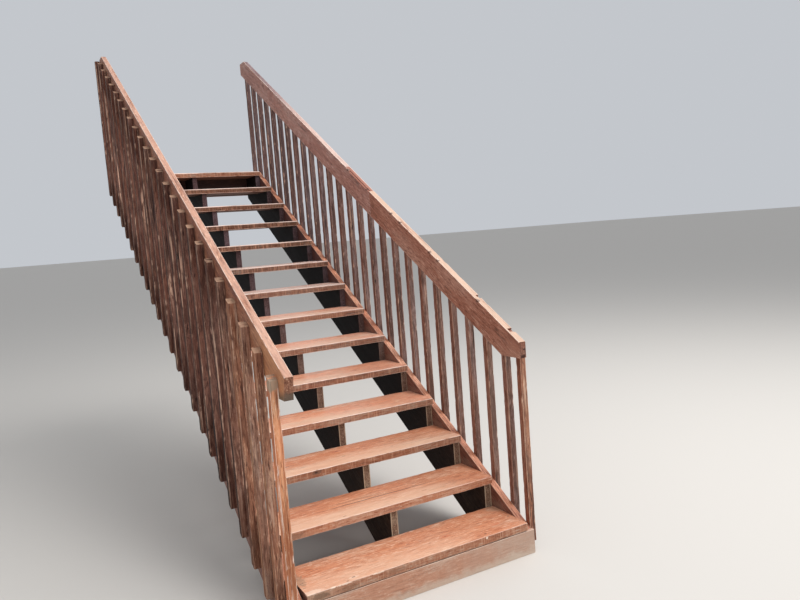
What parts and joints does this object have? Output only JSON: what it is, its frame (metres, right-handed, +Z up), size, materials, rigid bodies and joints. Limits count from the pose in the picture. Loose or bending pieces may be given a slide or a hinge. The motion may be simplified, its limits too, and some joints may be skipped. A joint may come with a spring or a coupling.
{
  "type": "wooden deck stairs",
  "caption": "Straight open-riser deck stairs: thick board treads on cut stringers between skirt boards, with sloping board rails and square balusters.",
  "frame": {"origin": "centre of the flat back face of the top header board, which is fixed to the deck", "axes": "+Z up, +Y up the flight and into the deck, +X across the flight to the right when climbing"},
  "size_m": [1.3, 3.932, 3.2276],
  "materials": {
    "tread_wood": "stained, worn by feet",
    "stringer_wood": "weathered, dark",
    "skirt_wood": "stained, weathered",
    "riser_wood": "stained, dirty near the ground",
    "header_wood": "dark stained",
    "rail_wood": "stained, worn top edge",
    "baluster_wood": "weathered stain"
  },
  "bodies": {
    "root": {"tread_01": "tread_wood", "tread_02": "tread_wood", "tread_03": "tread_wood", "tread_04": "tread_wood", "tread_05": "tread_wood", "tread_06": "tread_wood", "tread_07": "tread_wood", "tread_08": "tread_wood", "tread_09": "tread_wood", "tread_10": "tread_wood", "tread_11": "tread_wood", "tread_12": "tread_wood", "tread_13": "tread_wood", "top_board": "tread_wood", "stringer_left": "stringer_wood", "stringer_middle": "stringer_wood", "stringer_right": "stringer_wood", "skirt_left": "skirt_wood", "skirt_right": "skirt_wood", "bottom_riser": "riser_wood", "top_header": "header_wood", "rail_left": "rail_wood", "rail_right_lower": "rail_wood", "rail_right_upper": "rail_wood", "balusters_left_lower": "baluster_wood", "balusters_left_middle": "baluster_wood", "balusters_left_upper": "baluster_wood", "balusters_right_lower": "baluster_wood", "balusters_right_middle": "baluster_wood", "balusters_right_upper": "baluster_wood"}
  },
  "joints": []
}
